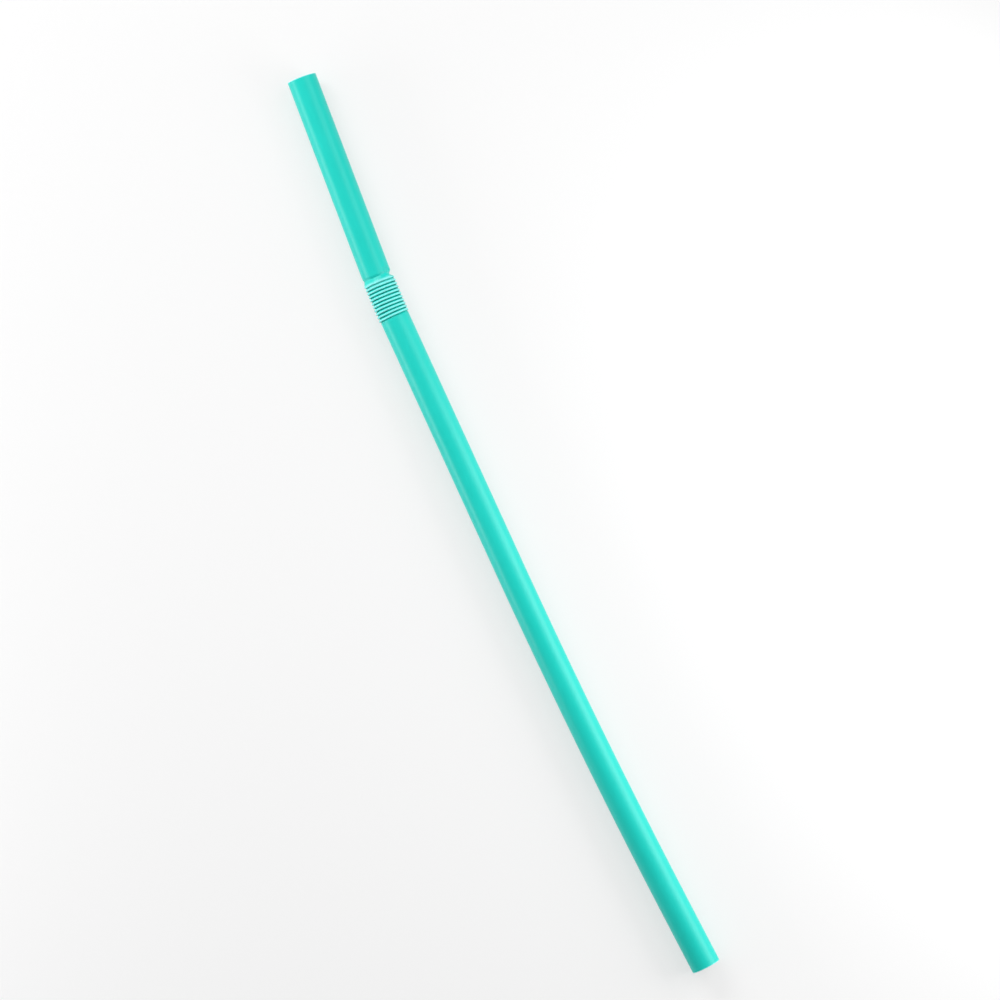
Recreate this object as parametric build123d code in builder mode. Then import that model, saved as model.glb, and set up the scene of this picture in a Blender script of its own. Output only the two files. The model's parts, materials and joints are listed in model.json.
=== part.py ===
from build123d import *
import os
from math import acos, asin, atan2, cos, degrees, hypot, radians, sin, tan

# Flexible drinking straw, lying on its side. Millimetres and degrees.
# The origin is the centre of the lower opening, +X runs up the straw towards the
# mouth end, +Z is up, and every bend turns towards -Y in the XY plane.

# Tube
straw_length = 197.0      # along the centreline, end to end
tube_diameter = 6.0       # outside
film = 0.16               # wall, the same in the tube and in the pleats

# Pleats: a thin film folded back on itself, each lip hanging over the next pleat
mouth_length = 44.0       # mouth end to the first crest
pleats = 11
pitch = 0.73              # crest to crest, as the pleats stand pushed together
crest_rise = 0.25         # crests above the tube's outside
root_depth = 0.5          # roots below the tube's outside
tuck = 0.12               # how far each root lies back behind its own crest
fold_gap = 0.12           # air between the film's two layers at a fold

# Neck and shoulder above the first crest, and the run-out below the last one
neck_depth = 0.13
neck_radius = 0.6         # of the film's centreline, in and out of the neck
shoulder_slope = 20.0
runout_radius = 0.4

# Bends, listed from the lower end upwards
entry_length = 14.0       # straight end that goes into the drink
bow_length = 76.0         # gentle set of the long tube
bow_turn = 2.9
lower_turn = 1.6          # just below the pleats
upper_turn = 2.2          # just above the neck
turn_radius = 30.0        # of both short turns

# Film centreline: radii from the axis
tube_mid = (tube_diameter - film) / 2
neck_mid = tube_mid - neck_depth
fold = (film + fold_gap) / 2
crest_centre = tube_mid + crest_rise - fold
root_centre = tube_mid - root_depth + fold

# Slopes of the two flanks, each tangent to a crest fold and a root fold
rise = crest_centre - root_centre
flank = pitch + tuck
outer_slope = degrees(atan2(rise, flank) + asin(2 * fold / hypot(rise, flank)))
inner_slope = degrees(atan2(rise, tuck) - asin(2 * fold / hypot(rise, tuck)))
fold_turn = 180 + outer_slope - inner_slope


def off(slope):
    """Step from a fold's centre out to a flank of this slope."""
    return Vector(sin(radians(slope)), cos(radians(slope))) * fold


# Lower end of the pleats: out of the last root, up to the tube's own radius
last_root = Vector(tuck, root_centre) - off(outer_slope)
runout_start = tube_mid - runout_radius * (1 - cos(radians(outer_slope)))
runout_x = last_root.X - (runout_start - last_root.Y) / tan(radians(outer_slope))
pleats_low = runout_x - runout_radius * sin(radians(outer_slope))

# Upper end of the pleats: over the shoulder and the neck to the tube
first_crest = (pleats - 1) * pitch
shoulder_low = Vector(first_crest, crest_centre) + off(shoulder_slope)
shoulder_top = neck_mid + neck_radius * (1 - cos(radians(shoulder_slope)))
shoulder_run = (shoulder_low.Y - shoulder_top) / tan(radians(shoulder_slope))
neck_x = shoulder_low.X + shoulder_run + neck_radius * sin(radians(shoulder_slope))
neck_turn = degrees(acos(1 - neck_depth / (2 * neck_radius)))
pleats_top = neck_x + 2 * neck_radius * sin(radians(neck_turn))

# Centreline of the straw: the run fills what the named lengths leave
short_turn_low = turn_radius * radians(lower_turn)
short_turn_top = turn_radius * radians(upper_turn)
lower_length = straw_length - mouth_length - first_crest + pleats_low
run_length = lower_length - entry_length - bow_length - short_turn_low
mouth_run = mouth_length + first_crest - pleats_top - short_turn_top

with BuildLine() as route:
    entry = Line((0, 0), (entry_length, 0))
    bow = JernArc(entry @ 1, entry % 1, bow_length / radians(bow_turn), -bow_turn)
    run = Line(bow @ 1, bow @ 1 + (bow % 1) * run_length)
    low_arc = JernArc(run @ 1, run % 1, turn_radius, -lower_turn)
    pleated = Line(low_arc @ 1, low_arc @ 1 + (low_arc % 1) * (pleats_top - pleats_low))
    top_arc = JernArc(pleated @ 1, pleated % 1, turn_radius, -upper_turn)
    mouth = Line(top_arc @ 1, top_arc @ 1 + (top_arc % 1) * mouth_run)

# Pleats lie on their own plane: its x axis is the tube's axis, zero at the last crest
pleat_plane = Plane(
    origin=pleated @ 0 - (pleated % 0) * pleats_low,
    x_dir=pleated % 0,
    z_dir=(0, 0, 1),
)
pleat_axis = Axis(pleat_plane.origin, pleat_plane.x_dir)

with BuildPart() as straw:
    # Straight stretches
    for stretch in (entry, run, mouth):
        with BuildSketch(Plane(origin=stretch @ 0, z_dir=stretch % 0)):
            Circle(tube_diameter / 2)
            Circle(tube_diameter / 2 - film, mode=Mode.SUBTRACT)
        extrude(amount=stretch.length)

    # Bent stretches, each turned about its own centre
    for arc, turn in ((bow, bow_turn), (low_arc, lower_turn), (top_arc, upper_turn)):
        with BuildSketch(Plane(origin=arc @ 0, z_dir=arc % 0)):
            Circle(tube_diameter / 2)
            Circle(tube_diameter / 2 - film, mode=Mode.SUBTRACT)
        revolve(axis=Axis(arc.arc_center, (0, 0, -1)), revolution_arc=turn)

    # Pleats, neck and shoulder: the film's centreline given its wall, then turned
    with BuildSketch(pleat_plane):
        with BuildLine():
            into_neck = JernArc((pleats_top, tube_mid), (-1, 0), neck_radius, neck_turn)
            out_of_neck = JernArc(
                into_neck @ 1, into_neck % 1, neck_radius, -neck_turn - shoulder_slope
            )
            start = out_of_neck @ 1
            slope = shoulder_slope
            for pleat in range(pleats):
                x = first_crest - pleat * pitch
                crest = CenterArc(
                    (x, crest_centre), fold, 90 - slope, 180 + slope - inner_slope
                )
                root = CenterArc((x + tuck, root_centre), fold, 90 - inner_slope, -fold_turn)
                Line(start, crest @ 0)
                Line(crest @ 1, root @ 0)
                start = root @ 1
                slope = outer_slope
            runout = Line(start, (runout_x, runout_start))
            JernArc(runout @ 1, runout % 1, runout_radius, outer_slope)
        trace(line_width=film)
    revolve(axis=pleat_axis)

straw.part.label = "straw"
os.makedirs("parts", exist_ok=True)
export_step(straw.part, "parts/straw.step")
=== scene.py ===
import json
import math

import bmesh
import bpy
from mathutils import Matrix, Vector


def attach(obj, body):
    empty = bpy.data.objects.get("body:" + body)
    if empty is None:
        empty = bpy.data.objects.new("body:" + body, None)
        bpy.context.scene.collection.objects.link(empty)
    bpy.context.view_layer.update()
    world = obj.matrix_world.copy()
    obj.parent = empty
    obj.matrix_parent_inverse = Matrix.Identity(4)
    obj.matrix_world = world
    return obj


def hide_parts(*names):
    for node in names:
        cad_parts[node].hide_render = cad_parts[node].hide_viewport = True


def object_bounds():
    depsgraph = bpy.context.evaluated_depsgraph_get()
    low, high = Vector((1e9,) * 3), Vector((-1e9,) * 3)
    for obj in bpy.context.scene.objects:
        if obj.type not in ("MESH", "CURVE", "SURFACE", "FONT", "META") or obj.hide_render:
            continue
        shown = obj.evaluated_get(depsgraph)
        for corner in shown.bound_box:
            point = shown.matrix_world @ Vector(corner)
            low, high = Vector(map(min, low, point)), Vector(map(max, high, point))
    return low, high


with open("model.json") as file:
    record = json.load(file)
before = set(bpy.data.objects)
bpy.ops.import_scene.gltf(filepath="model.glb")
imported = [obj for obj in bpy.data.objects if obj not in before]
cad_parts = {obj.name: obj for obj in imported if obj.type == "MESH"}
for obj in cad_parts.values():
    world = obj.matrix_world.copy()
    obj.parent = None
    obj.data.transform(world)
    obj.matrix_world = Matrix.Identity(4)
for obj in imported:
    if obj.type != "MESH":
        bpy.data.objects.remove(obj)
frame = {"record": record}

bl_info = {
    "name": "Flexible drinking straw",
    "version": (1, 0, 0),
    "blender": (4, 5, 0),
    "location": "3D View > Sidebar > Straw",
    "description": "Makes a pleated plastic drinking straw that lies on a pale floor",
    "category": "Add Mesh",
}

NODE = "straw"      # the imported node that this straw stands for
# The attribute carries painted light and shade: whitened film with a painted highlight on crests,
# a painted highlight on cut edges, painted shade in grooves.
WHITENING_LIGHT_AND_SHADE = "pale"       # the mesh attribute that says how pale the film is
CAD_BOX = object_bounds()
MOUNTS = {mount["name"]: mount for mount in frame["record"]["mounts"]}
MM = 0.001


def mount_size(name, key):
    """A mount's stated size, in metres."""
    return MOUNTS[name]["dims"][key] * MM


OUTSIDE = mount_size("lower_outside", "r_mm")
INSIDE = mount_size("lower_opening", "r_mm")


# ---------------------------------------------------------------- settings

def length(name, text, default):
    """A length property in metres."""
    return bpy.props.FloatProperty(
        name=name, description=text, default=default, min=0.0,
        precision=6, unit="LENGTH", subtype="DISTANCE",
    )


def angle(name, text, degrees):
    """An angle property, given in degrees."""
    return bpy.props.FloatProperty(
        name=name, description=text, default=math.radians(degrees), subtype="ANGLE",
    )


def share(name, text, default):
    """A number from none to all."""
    return bpy.props.FloatProperty(
        name=name, description=text, default=default, min=0.0, max=1.0, subtype="FACTOR",
    )


def amount(name, text, default):
    """A plain number."""
    return bpy.props.FloatProperty(name=name, description=text, default=default, precision=4)


def count(name, text, default):
    """A whole number."""
    return bpy.props.IntProperty(name=name, description=text, default=default, min=1)


def colour(name, text, default):
    """A linear colour."""
    return bpy.props.FloatVectorProperty(
        name=name, description=text, default=default, size=3, min=0.0, max=1.0, subtype="COLOR",
    )


class StrawSizes(bpy.types.PropertyGroup):
    """Sizes of the tube, its pleats and its bends."""

    outside: length("Outside radius", "Outside radius of the tube", OUTSIDE)
    film: length("Film", "Wall thickness", OUTSIDE - INSIDE)
    straw_length: length("Length", "End to end along the middle", 197 * MM)
    mouth_length: length("Mouth length", "Mouth end to the first crest", 44 * MM)
    pleats: count("Pleats", "Number of pleats", 11)
    pitch: length("Pitch", "Crest to crest", 0.73 * MM)
    crest_rise: length("Crest rise", "Height of the crests above the tube", 0.25 * MM)
    root_depth: length("Root depth", "Depth of the roots below the tube", 0.5 * MM)
    tuck: length("Tuck", "How far a root lies behind its own crest", 0.12 * MM)
    fold_gap: length("Fold gap", "Air between the layers of a fold", 0.12 * MM)
    # Pale depth scales both the paleness of the crests and the painted shade below them in the
    # grooves.
    pale_depth: length("Pale depth", "How far down from its tip a crest is pale", 0.155 * MM)
    neck_depth: length("Neck depth", "Depth of the neck above the first crest", 0.13 * MM)
    neck_radius: length("Neck radius", "Radius into and out of the neck", 0.6 * MM)
    shoulder_slope: angle("Shoulder slope", "Slope from the neck up to the first crest", 20)
    runout_radius: length("Run-out radius", "Radius below the last pleat", 0.4 * MM)
    entry_length: length(
        "Entry length", "Straight lower end", mount_size("lower_opening", "length_mm")
    )
    bow_length: length("Bow length", "Bowed part of the long tube", 76 * MM)
    bow_turn: angle("Bow turn", "Turn of the long tube's bow", 2.9)
    lower_turn: angle("Lower turn", "Turn through the lowest pleats", 1.6)
    upper_turn: angle("Upper turn", "Turn through the neck", 2.2)
    fan: angle("Fan", "Extra lean of the last crest", 1.2)
    fan_pleats: amount("Fan pleats", "How many pleats share the fan", 4.0)
    segments: count("Segments", "Corners around the tube", 112)
    fold_steps: count("Fold steps", "Steps around each fold", 8)
    shoulder_steps: count("Shoulder steps", "Rings down the shoulder", 6)
    tube_step: length("Tube step", "Rings along the plain tube", 2.5 * MM)
    edge_step: length("Edge step", "Last ring before each cut end", 0.2 * MM)
    neck_step: length("Neck step", "Rings just above the neck", 0.16 * MM)


class FilmFinish(bpy.types.PropertyGroup):
    """Colour and gloss of the plastic film, with whitened crests that also carry a painted
    highlight, a painted highlight on the cut edges and painted shade in the grooves.
    """

    film_colour: colour("Film", "Colour of the film", (0.007, 0.66, 0.555))
    thin_colour: colour("Thin film", "Colour where the film is thinner", (0.014, 0.72, 0.625))
    # The pale colour is partly the crests' own whitened film and partly a painted highlight; on
    # the cut edges it is a painted highlight. The deep colour is painted shade in the grooves.
    whitened_and_highlight_colour: colour("Pale film", "Colour of the crests and the cut edges", (0.30, 0.99, 0.97))
    groove_shade_colour: colour("Deep film", "Colour of the grooves between crests", (0.003, 0.34, 0.29))
    whitening_and_highlight: share("Whitening", "How far crests and cut edges turn pale", 0.9)
    groove_shading: share("Deepening", "How far the grooves turn dark", 0.75)
    roughness: share("Roughness", "Satin roughness", 0.38)
    gloss: share("Gloss", "Strength of the reflections", 0.42)
    glow: share("Glow", "Light carried within the film", 0.12)


class StageSizes(bpy.types.PropertyGroup):
    """Floor, lamps and camera."""

    floor_size: length("Floor", "Side of the floor", 4.0)
    camera_height: length("Camera height", "Above the straw's axis", 0.8)
    frame_width: length("Frame", "Width that the camera takes in", 0.2018)
    roll: angle("Roll", "Turn of the camera about its line of sight", -117.51)
    centre: bpy.props.FloatVectorProperty(
        name="Centre", description="Point under the camera, on the straw's level",
        default=(0.10264, -0.00656), size=2, unit="LENGTH", subtype="XYZ", precision=5,
    )
    mouth_power: amount("Mouth lamp", "Watts of the lamp beyond the mouth end", 1.8)
    high_power: amount("High lamp", "Watts of the large lamp high on the right", 0.6)
    right_power: amount("Right lamp", "Watts of the low lamp right of the long tube", 0.18)
    left_power: amount("Left lamp", "Watts of the low lamp left of the mouth end", 0.3)
    sky: amount("Sky", "Strength of the surrounding white", 0.2)
    floor_lift: share("Floor lift", "White that the floor adds where it is seen", 0.6)


# ---------------------------------------------------------------- shader maths

class Wire:
    """A node's output that can be used in plain arithmetic."""

    def __init__(self, paint, socket):
        self.paint = paint
        self.socket = socket

    def maths(self, operation, first, second):
        return self.paint.node("ShaderNodeMath", {"operation": operation}, {0: first, 1: second})

    def __add__(self, other):
        return self.maths("ADD", self, other)

    def __radd__(self, other):
        return self.maths("ADD", other, self)

    def __mul__(self, other):
        return self.maths("MULTIPLY", self, other)

    def __rmul__(self, other):
        return self.maths("MULTIPLY", other, self)


class Paint:
    """One material's node tree."""

    def __init__(self, name):
        self.material = bpy.data.materials.new(name)
        self.material.use_nodes = True
        self.tree = self.material.node_tree
        self.tree.nodes.clear()

    def node(self, kind, settings=None, sockets=None, output=0):
        """Adds a node, sets it up, then fills its sockets with values or wires."""
        made = self.tree.nodes.new(kind)
        for key, value in (settings or {}).items():
            setattr(made, key, value)
        for key, value in (sockets or {}).items():
            if isinstance(value, Wire):
                self.tree.links.new(value.socket, made.inputs[key])
            else:
                made.inputs[key].default_value = value
        return Wire(self, made.outputs[output]) if len(made.outputs) else None

    def noise(self, place, scale, detail):
        """Soft noise at a place, its scale in cycles per metre."""
        return self.node(
            "ShaderNodeTexNoise", None, {"Vector": place, "Scale": scale, "Detail": detail}
        )

    def mix(self, factor, first, second):
        """A colour between two others. The factor is kept between 0 and 1."""
        return self.node(
            "ShaderNodeMix", {"data_type": "RGBA"}, {"Factor": factor, "A": first, "B": second}, 2
        )

    def finish(self, surface):
        self.node("ShaderNodeOutputMaterial", None, {"Surface": surface})
        return self.material


def rgba(plain_colour):
    """A colour with full alpha."""
    return (*plain_colour, 1.0)


def grey(level):
    """An even grey with full alpha."""
    return (level, level, level, 1.0)


# The film's patterns. Scales are in cycles per metre.
LINE_SCALE = (18.0, 900.0, 900.0)   # lines from drawing the tube, long and thin
CLOUD_SCALE = 90.0                  # slow changes of tint and gloss
GRAIN_SCALE = 5200.0                # fine satin grain
CLOUD_TINT = 0.6                    # share of thin colour that the clouds bring
LINE_TINT = 0.3                     # and the lines
CLOUD_DULLING = 0.08                # roughness that the clouds bring
LINE_DULLING = 0.05                 # and the lines
LINE_RELIEF = 0.7
GRAIN_RELIEF = 0.3
RELIEF_STRENGTH = 0.25
RELIEF_HEIGHT = 0.02 * MM
PLASTIC_IOR = 1.49
GLOW_COLOURS = (0.25, 1.0, 0.95)    # how far red, green and blue light reach inside
GLOW_REACH = 0.5 * MM


def satin_film(finish):
    """Thin satin plastic: faint drawing lines, soft gloss, crests paler from whitening and a
    painted highlight, a painted highlight on cut edges, and painted shade in the grooves.
    """
    paint = Paint("satin_film")
    place = paint.node("ShaderNodeTexCoord", None, None, "Object")
    along = paint.node("ShaderNodeMapping", None, {"Vector": place, "Scale": LINE_SCALE})
    lines = paint.noise(along, 1.0, 3.0)
    cloud = paint.noise(place, CLOUD_SCALE, 2.0)
    grain = paint.noise(place, GRAIN_SCALE, 1.0)
    pale = paint.node("ShaderNodeAttribute", {"attribute_name": WHITENING_LIGHT_AND_SHADE}, None, "Fac")

    thin = cloud * CLOUD_TINT + lines * LINE_TINT
    tint = paint.mix(thin, rgba(finish.film_colour), rgba(finish.thin_colour))
    # Crests: whitened film and a painted highlight; cut edges: a painted highlight.
    tint = paint.mix(pale * finish.whitening_and_highlight, tint, rgba(finish.whitened_and_highlight_colour))
    # Painted shade in the grooves, where the mask is below 0.
    tint = paint.mix(pale * -finish.groove_shading, tint, rgba(finish.groove_shade_colour))

    smoothest = finish.roughness - (CLOUD_DULLING + LINE_DULLING) / 2
    relief = lines * LINE_RELIEF + grain * GRAIN_RELIEF
    bump = paint.node(
        "ShaderNodeBump", None,
        {"Height": relief, "Strength": RELIEF_STRENGTH, "Distance": RELIEF_HEIGHT},
    )
    film = paint.node(
        "ShaderNodeBsdfPrincipled", {"subsurface_method": "RANDOM_WALK"},
        {
            "Base Color": tint,
            "Roughness": cloud * CLOUD_DULLING + lines * LINE_DULLING + smoothest,
            "IOR": PLASTIC_IOR,
            "Specular IOR Level": finish.gloss,
            "Subsurface Weight": finish.glow,
            "Subsurface Radius": GLOW_COLOURS,
            "Subsurface Scale": GLOW_REACH,
            "Normal": bump,
        },
    )
    return paint.finish(film)


FLOOR_TONE = 0.6            # where the floor lights the object
FLOOR_SEEN_TONE = 0.36      # where it is seen, before the lift is added
FLOOR_ROUGHNESS = 0.9
FLOOR_GLOSS = 0.1


def pale_floor(lift):
    """White to the eye and in reflections, a little darker where it lights the object."""
    paint = Paint("pale_floor")
    seen = paint.node("ShaderNodeLightPath", None, None, "Is Camera Ray")
    mirrored = paint.node("ShaderNodeLightPath", None, None, "Is Glossy Ray")
    direct = seen.maths("MAXIMUM", seen, mirrored)
    floor = paint.node(
        "ShaderNodeBsdfPrincipled", None,
        {
            "Base Color": paint.mix(direct, grey(FLOOR_TONE), grey(FLOOR_SEEN_TONE)),
            "Roughness": FLOOR_ROUGHNESS,
            "Specular IOR Level": FLOOR_GLOSS,
            "Emission Color": paint.mix(direct, grey(0.0), grey(lift)),
            "Emission Strength": 1.0,
        },
    )
    return paint.finish(floor)


# ---------------------------------------------------------------- the straw's shape

# Steps round the arcs beside the folds: out of the plain tube, into the shoulder, and from the
# last pleat down to the plain tube.
NECK_TOP_STEPS = 5
NECK_FOOT_STEPS = 7
RUNOUT_STEPS = 4
NECK_RINGS = 18             # how many closely spaced rings lie above the neck
BENT_PLEATS = 3             # how many pleats the lower turn takes up
BELOW_LAST_CREST = 0.5 * MM         # where the lower turn starts
NECK_BEND = (0.6 * MM, 2.6 * MM)    # where the upper turn lies above the first crest
SAME_ANGLE = 1e-7
SAME_LENGTH = 1e-9


def crests(sizes):
    """Where the first crest, near the mouth, and the last crest lie along the tube."""
    first = sizes.straw_length - sizes.mouth_length
    return first, first - (sizes.pleats - 1) * sizes.pitch


def kept_between(value, low, high):
    return min(high, max(low, value))


def arc(centre, radius, start, turn, steps):
    """Points on a circular arc, both ends included. Angles in radians."""
    angles = [start + turn * step / steps for step in range(steps + 1)]
    return [centre + Vector((math.cos(a), math.sin(a))) * radius for a in angles]


def film_path(sizes):
    """The pleated film's middle line from its lower end to its upper end.

    x is measured along the tube from the last crest, y from the tube's axis.
    """
    middle = sizes.outside - sizes.film / 2
    fold = (sizes.film + sizes.fold_gap) / 2
    crest = middle + sizes.crest_rise - fold
    root = middle - sizes.root_depth + fold
    rise = crest - root
    flank = sizes.pitch + sizes.tuck
    outer = math.atan2(rise, flank) + math.asin(2 * fold / math.hypot(rise, flank))
    inner = math.atan2(rise, sizes.tuck) - math.asin(2 * fold / math.hypot(rise, sizes.tuck))
    slope = sizes.shoulder_slope
    top = (sizes.pleats - 1) * sizes.pitch
    neck = middle - sizes.neck_depth
    bend = sizes.neck_radius
    quarter = math.pi / 2

    shoulder = Vector((top, crest)) + Vector((math.sin(slope), math.cos(slope))) * fold
    shoulder_top = neck + bend * (1 - math.cos(slope))
    neck_x = shoulder.x + (shoulder.y - shoulder_top) / math.tan(slope) + bend * math.sin(slope)
    neck_turn = math.acos(1 - sizes.neck_depth / (2 * bend))
    upper_end = neck_x + 2 * bend * math.sin(neck_turn)

    path = arc(
        Vector((upper_end, middle - bend)), bend, quarter, neck_turn, NECK_TOP_STEPS
    )
    path += arc(
        Vector((neck_x, neck + bend)), bend, neck_turn - quarter, -neck_turn - slope,
        NECK_FOOT_STEPS,
    )[1:]
    foot = path[-1]
    steps = sizes.shoulder_steps
    path += [foot.lerp(shoulder, step / steps) for step in range(1, steps)]
    for pleat in range(sizes.pleats):
        x = top - pleat * sizes.pitch
        path += arc(
            Vector((x, crest)), fold, quarter - slope, math.pi + slope - inner, sizes.fold_steps
        )
        slope = outer
        path += arc(
            Vector((x + sizes.tuck, root)), fold, quarter - inner, inner - outer - math.pi,
            sizes.fold_steps,
        )
    ease = sizes.runout_radius
    drop = ease * (1 - math.cos(outer))
    start = Vector((
        path[-1].x - (middle - drop - path[-1].y) / math.tan(outer), middle - drop
    ))
    lower_end = start.x - ease * math.sin(outer)
    path.append((path[-1] + start) / 2)
    path += arc(
        Vector((lower_end, middle - ease)), ease, quarter - outer, outer, RUNOUT_STEPS
    )
    return path[::-1]


def spaced(start, end, step):
    """Even places from start to end, both included, no more than a step apart."""
    parts = max(1, math.ceil((end - start) / step))
    return [start + (end - start) * part / parts for part in range(parts + 1)]


def rings(sizes):
    """Every ring of the straw from its lower end up: (place along the tube, radius, lean)."""
    middle = sizes.outside - sizes.film / 2
    last_crest = crests(sizes)[1]
    path = film_path(sizes)
    low = last_crest + path[0].x
    high = last_crest + path[-1].x
    reach = sizes.fan_pleats * sizes.pitch

    def lean(x):
        """How far a ring leans, as the lowest pleats fan open."""
        if x < 0:
            return sizes.fan * max(0.0, 1 - x / path[0].x)
        return sizes.fan * max(0.0, 1 - x / reach) ** 2

    lower = [0.0] + spaced(sizes.edge_step, low, sizes.tube_step)[:-1]
    folded = [(last_crest + point.x, point.y, lean(point.x)) for point in path]
    dented = high + NECK_RINGS * sizes.neck_step
    upper = spaced(high, dented, sizes.neck_step)[1:]
    upper += spaced(dented, sizes.straw_length - sizes.edge_step, sizes.tube_step)[1:]
    upper.append(sizes.straw_length)
    return (
        [(place, middle, 0.0) for place in lower]
        + folded
        + [(place, middle, 0.0) for place in upper]
    )


def bends(sizes):
    """(where each bend starts, where it ends, how far it turns), along the tube."""
    first_crest, last_crest = crests(sizes)
    return (
        (sizes.entry_length, sizes.entry_length + sizes.bow_length, sizes.bow_turn),
        (
            last_crest - BELOW_LAST_CREST, last_crest + BENT_PLEATS * sizes.pitch,
            sizes.lower_turn,
        ),
        (first_crest + NECK_BEND[0], first_crest + NECK_BEND[1], sizes.upper_turn),
    )


def heading(place, turns):
    """Direction of the tube's axis at a place along it."""
    return -sum(
        turn * kept_between((place - start) / (end - start), 0.0, 1.0)
        for start, end, turn in turns
    )


def direction(turn):
    """The level direction at an angle from +X."""
    return Vector((math.cos(turn), math.sin(turn), 0.0))


class Route:
    """Where the tube's axis is, at any distance from its lower end."""

    STEP = 0.1 * MM
    SEARCHES = 2        # enough, since the bends are slight

    def __init__(self, sizes):
        self.length = sizes.straw_length
        self.turns = bends(sizes)
        self.points = [Vector((0.0, 0.0, 0.0))]
        for step in range(math.ceil(self.length / self.STEP) + 2):
            turn = self.heading((step + 0.5) * self.STEP)
            self.points.append(self.points[-1] + direction(turn) * self.STEP)

    def at(self, place):
        step = min(int(place / self.STEP), len(self.points) - 2)
        return self.points[step].lerp(self.points[step + 1], place / self.STEP - step)

    def heading(self, place):
        return heading(place, self.turns)

    def nearest(self, point):
        """The place along the axis that a point is level with."""
        place = kept_between(point.x, 0.0, self.length)
        for _ in range(self.SEARCHES):
            place += (point - self.at(place)).dot(direction(self.heading(place)))
            place = kept_between(place, 0.0, self.length)
        return place


def start_clean():
    """Leaves edit mode and deselects everything."""
    if bpy.context.mode != "OBJECT":
        bpy.ops.object.mode_set(mode="OBJECT")
    bpy.ops.object.select_all(action="DESELECT")


def draw_tube(sizes, route):
    """Draws the film's middle surface ring by ring, from a circle at the lower end."""
    start_clean()
    stations = rings(sizes)
    bpy.ops.mesh.primitive_circle_add(
        vertices=sizes.segments, radius=stations[0][1], fill_type="NOTHING",
        location=(0, 0, 0), rotation=(0, math.pi / 2, 0),
    )
    tube = bpy.context.object
    bpy.ops.object.transform_apply(location=True, rotation=True, scale=True)
    bpy.ops.object.mode_set(mode="EDIT")
    bpy.ops.mesh.select_all(action="SELECT")
    centre = route.at(0.0)
    facing = 0.0
    radius = stations[0][1]
    for place, new_radius, lean in stations[1:]:
        new_centre = route.at(place)
        bpy.ops.mesh.extrude_edges_move(
            TRANSFORM_OT_translate={"value": new_centre - centre}
        )
        centre = new_centre
        new_facing = route.heading(place) + lean
        if abs(new_facing - facing) > SAME_ANGLE:
            bpy.ops.transform.rotate(
                value=facing - new_facing, orient_axis="Z", center_override=centre
            )
            facing = new_facing
        if abs(new_radius - radius) > SAME_LENGTH:
            scale = new_radius / radius
            bpy.ops.transform.resize(value=(scale, scale, scale), center_override=centre)
            radius = new_radius
    bpy.ops.object.mode_set(mode="OBJECT")
    return tube


# Handling marks in the neck. Each is a short line pressed into the film (or out of it, where
# the depth is negative): its two ends, as millimetres above the first crest and degrees from
# the top towards -Y, then its depth and how far the film around it follows, in millimetres.
MARKS = (
    ((0.66, 64), (0.66, 114), 0.46, 0.90),     # pinch in the side of the neck
    ((1.50, 50), (1.55, 62), 0.17, 0.80),      # shallow facet above it
    ((0.58, 34), (1.15, 64), -0.08, 0.30),     # ridge between the two
    ((2.30, 30), (2.65, 44), -0.05, 0.36),     # faint ridge over the facet
    ((1.02, -26), (1.02, 9), 0.09, 0.30),      # groove at the foot of the shoulder
    ((1.45, -30), (1.45, 8), -0.04, 0.32),     # faint lip above the groove
)


def press(tube, sizes, route, mark):
    """Moves one mark's line of the film, with what lies around it."""
    (start_along, start_angle), (end_along, end_angle), depth, reach = mark
    first_crest = crests(sizes)[0]
    centre = route.at(first_crest)
    forward = direction(route.heading(first_crest))
    side = Vector((forward.y, -forward.x, 0.0))
    start = Vector((start_along * MM, math.radians(start_angle) * sizes.outside))
    end = Vector((end_along * MM, math.radians(end_angle) * sizes.outside))
    near = math.pi * sizes.outside / sizes.segments

    bpy.ops.mesh.select_all(action="DESELECT")
    mesh = bmesh.from_edit_mesh(tube.data)
    for vertex in mesh.verts:
        offset = vertex.co - centre
        around = math.atan2(offset.dot(side), offset.z) * sizes.outside
        spot = Vector((offset.dot(forward), around))
        along = (spot - start).dot(end - start) / (end - start).length_squared
        closest = start.lerp(end, kept_between(along, 0.0, 1.0))
        vertex.select = (spot - closest).length < near
    mesh.select_flush(True)
    bmesh.update_edit_mesh(tube.data)

    middle = math.radians((start_angle + end_angle) / 2)
    outward = side * math.sin(middle) + Vector((0.0, 0.0, math.cos(middle)))
    bpy.ops.transform.translate(
        value=outward * -depth * MM, use_proportional_edit=True,
        use_proportional_connected=True, proportional_edit_falloff="SMOOTH",
        proportional_size=reach * MM,
    )


def note_whitening_highlight_and_shade(tube, sizes, route):
    """Notes how pale the film is: 1 on crests (whitened film and a painted highlight) and cut
    edges (a painted highlight), below 0 in grooves (painted shade), else 0.
    """
    first_crest, last_crest = crests(sizes)
    edge = sizes.film / 4
    pale = []
    for vertex in tube.data.vertices:
        place = route.nearest(vertex.co)
        radius = (vertex.co - route.at(place)).length
        # Crests turn pale (whitened film and a painted highlight); between the crests the tone
        # falls below 0, for painted shade in the grooves.
        tone = 1.0 - (sizes.outside + sizes.crest_rise - radius) / sizes.pale_depth
        if not last_crest < place < first_crest:
            tone = max(0.0, tone)
        from_end = min(place, sizes.straw_length - place)
        # The cut edges get a painted highlight.
        pale.append(1.0 if from_end < edge else tone)
    layer = tube.data.attributes.new(WHITENING_LIGHT_AND_SHADE, "FLOAT", "POINT")
    layer.data.foreach_set("value", pale)


MERGE_DISTANCE = 1e-7
RIM_SHARE = 0.42            # how much of the film's thickness each rounded edge takes
RIM_STEPS = 3
RIM_ANGLE = 60              # degrees: only the cut ends turn more sharply
SMOOTH_ANGLE = 50           # degrees


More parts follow.
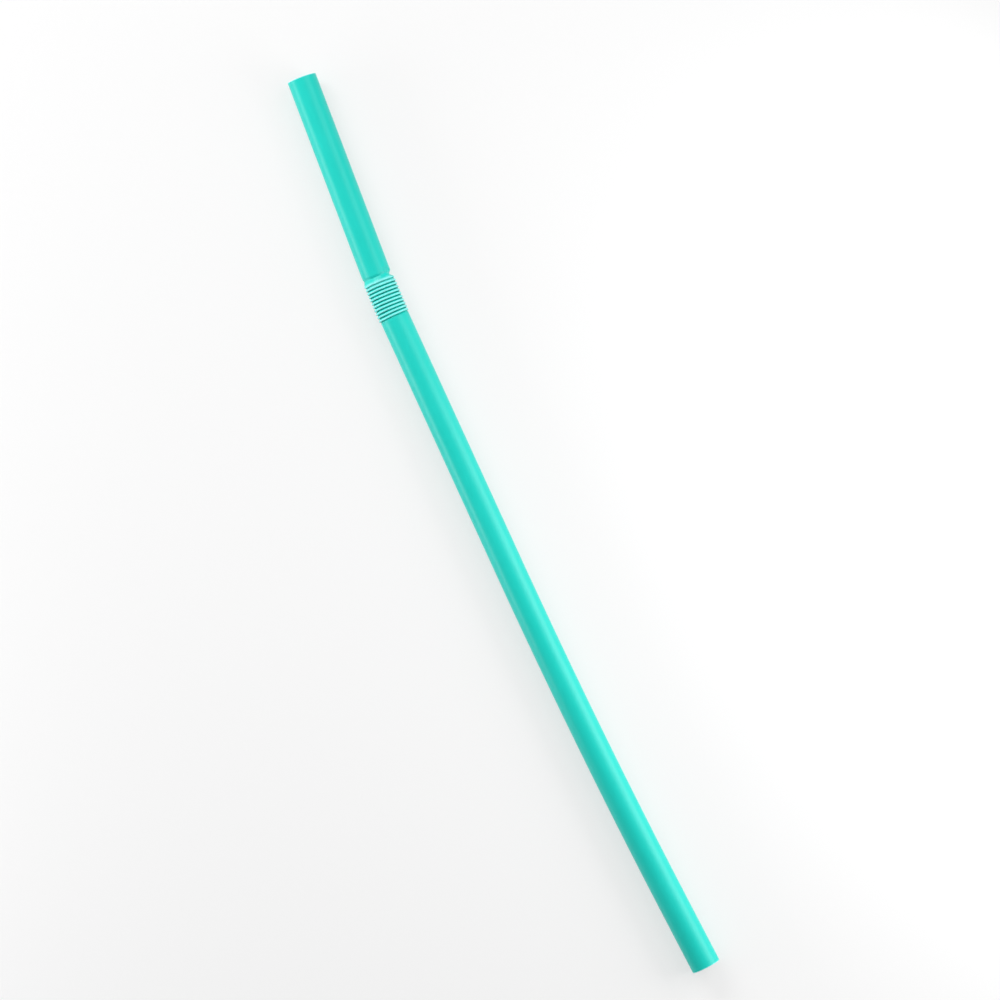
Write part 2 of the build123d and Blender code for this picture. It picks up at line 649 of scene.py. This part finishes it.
class STRAW_OT_film(bpy.types.Operator):
    """Models the straw as one film: tube, neck, pleats and both cut ends"""

    bl_idname = "straw.film"
    bl_label = "Make the straw"

    def execute(self, context):
        sizes = context.scene.straw_sizes
        route = Route(sizes)
        tube = draw_tube(sizes, route)
        tube.name = "straw_film"
        bpy.ops.object.mode_set(mode="EDIT")
        bpy.ops.mesh.select_all(action="SELECT")
        bpy.ops.mesh.remove_doubles(threshold=MERGE_DISTANCE)
        bpy.ops.mesh.normals_make_consistent(inside=False)
        for mark in MARKS:
            press(tube, sizes, route, mark)
        bpy.ops.object.mode_set(mode="OBJECT")
        wall = tube.modifiers.new("wall", "SOLIDIFY")
        wall.thickness = sizes.film
        wall.offset = 0.0
        wall.use_even_offset = True
        wall.use_quality_normals = True
        rim = tube.modifiers.new("rim", "BEVEL")
        rim.width = sizes.film * RIM_SHARE
        rim.segments = RIM_STEPS
        rim.limit_method = "ANGLE"
        rim.angle_limit = math.radians(RIM_ANGLE)
        for modifier in ("wall", "rim"):
            bpy.ops.object.modifier_apply(modifier=modifier)
        note_whitening_highlight_and_shade(tube, sizes, route)
        bpy.ops.object.shade_smooth_by_angle(angle=math.radians(SMOOTH_ANGLE))
        tube.data.materials.clear()
        tube.data.materials.append(satin_film(context.scene.straw_finish))
        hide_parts(NODE)
        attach(tube, "root")
        return {"FINISHED"}


# ---------------------------------------------------------------- stage

FLOOR_CUTS = 3

# Each lamp's place, the point it faces, and its two sides, all in metres. The first two are
# measured from the stage's centre, and the low ones from the straw's lower end.
MOUTH_LAMP = ((0.44, 0.04, 0.30), (0.0, 0.0, 0.0), (0.40, 0.26))
HIGH_LAMP = ((0.04, -0.30, 0.34), (0.0, 0.0, 0.0), (0.45, 0.30))
RIGHT_LAMP = ((0.03, -0.13, 0.06), (0.03, 0.0, 0.0), (0.18, 0.09))
LEFT_LAMP = ((0.20, 0.22, 0.045), (0.165, 0.0, 0.0), (0.26, 0.07))


def softbox(name, origin, layout, power):
    """A soft rectangular lamp that the camera doesn't see."""
    place, target, sides = layout
    start_clean()
    bpy.ops.object.light_add(type="AREA", location=origin + Vector(place))
    lamp = bpy.context.object
    lamp.name = name
    facing = Vector(target) - Vector(place)
    lamp.rotation_euler = facing.to_track_quat("-Z", "Y").to_euler()
    lamp.data.shape = "RECTANGLE"
    lamp.data.size = sides[0]
    lamp.data.size_y = sides[1]
    lamp.data.energy = power
    lamp.visible_camera = False


class STRAW_OT_stage(bpy.types.Operator):
    """Sets the floor, the lamps and the camera"""

    bl_idname = "straw.stage"
    bl_label = "Set the stage"

    def execute(self, context):
        stage = context.scene.straw_stage
        ground = CAD_BOX[0][2]
        start_clean()
        bpy.ops.mesh.primitive_plane_add(size=stage.floor_size, location=(0, 0, 0))
        floor = bpy.context.object
        floor.name = "floor"
        bpy.ops.object.mode_set(mode="EDIT")
        bpy.ops.transform.translate(value=(stage.centre[0], stage.centre[1], ground))
        bpy.ops.mesh.subdivide(number_cuts=FLOOR_CUTS)
        bpy.ops.object.mode_set(mode="OBJECT")
        floor.data.materials.append(pale_floor(stage.floor_lift))

        middle = Vector((stage.centre[0], stage.centre[1], 0.0))
        lower_end = Vector((0.0, 0.0, 0.0))
        softbox("mouth_softbox", middle, MOUTH_LAMP, stage.mouth_power)
        softbox("high_softbox", middle, HIGH_LAMP, stage.high_power)
        softbox("right_softbox", lower_end, RIGHT_LAMP, stage.right_power)
        softbox("left_softbox", lower_end, LEFT_LAMP, stage.left_power)

        world = context.scene.world or bpy.data.worlds.new("white_room")
        context.scene.world = world
        world.use_nodes = True
        background = world.node_tree.nodes["Background"]
        background.inputs["Color"].default_value = grey(1.0)
        background.inputs["Strength"].default_value = stage.sky

        start_clean()
        bpy.ops.object.camera_add(
            location=middle + Vector((0, 0, stage.camera_height)), rotation=(0, 0, stage.roll)
        )
        camera = bpy.context.object
        camera.name = "overhead_camera"
        camera.data.lens = camera.data.sensor_width * stage.camera_height / stage.frame_width
        context.scene.camera = camera
        context.scene.view_settings.view_transform = "Standard"
        return {"FINISHED"}


class STRAW_PT_panel(bpy.types.Panel):
    """Lists the straw's operators and settings"""

    bl_label = "Drinking straw"
    bl_idname = "STRAW_PT_panel"
    bl_space_type = "VIEW_3D"
    bl_region_type = "UI"
    bl_category = "Straw"

    def draw(self, context):
        layout = self.layout
        for group, operator in (
            (context.scene.straw_sizes, STRAW_OT_film.bl_idname),
            (context.scene.straw_finish, None),
            (context.scene.straw_stage, STRAW_OT_stage.bl_idname),
        ):
            box = layout.box()
            for name in group.__annotations__:
                box.prop(group, name)
            if operator:
                box.operator(operator)


CLASSES = (
    StrawSizes, FilmFinish, StageSizes, STRAW_OT_film, STRAW_OT_stage, STRAW_PT_panel,
)


def register():
    for kind in CLASSES:
        bpy.utils.register_class(kind)
    bpy.types.Scene.straw_sizes = bpy.props.PointerProperty(type=StrawSizes)
    bpy.types.Scene.straw_finish = bpy.props.PointerProperty(type=FilmFinish)
    bpy.types.Scene.straw_stage = bpy.props.PointerProperty(type=StageSizes)


def unregister():
    del bpy.types.Scene.straw_stage
    del bpy.types.Scene.straw_finish
    del bpy.types.Scene.straw_sizes
    for kind in reversed(CLASSES):
        bpy.utils.unregister_class(kind)


def main():
    register()
    bpy.ops.straw.film()
    bpy.ops.straw.stage()


if __name__ == "__main__":
    main()
